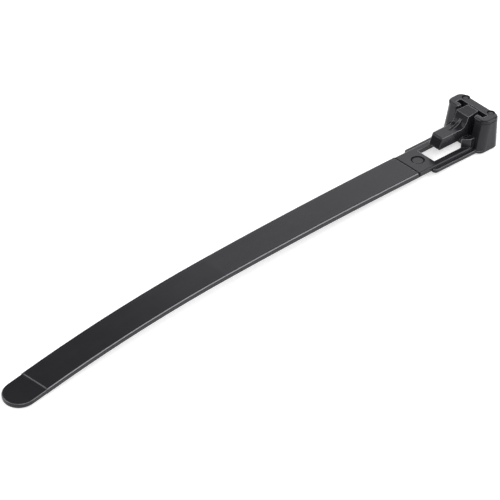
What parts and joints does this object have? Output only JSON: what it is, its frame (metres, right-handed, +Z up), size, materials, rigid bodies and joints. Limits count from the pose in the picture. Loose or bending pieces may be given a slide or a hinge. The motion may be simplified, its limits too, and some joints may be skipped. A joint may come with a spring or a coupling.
{
  "type": "releasable cable tie",
  "caption": "Releasable cable tie: a flat toothed strap with a rounded tip, and a slotted head with a spring pawl and thumb tab.",
  "frame": {"origin": "on the ground under the middle of the slot in the head, as the tie lies at rest", "axes": "+X from the strap's tip towards the head, +Y across the strap, +Z up; the tie is symmetric about the XZ plane"},
  "size_m": [0.1324, 0.0114, 0.0076],
  "materials": {
    "black_nylon": "satin moulded nylon"
  },
  "bodies": {
    "root": {"cable_tie": "black_nylon"}
  },
  "joints": []
}
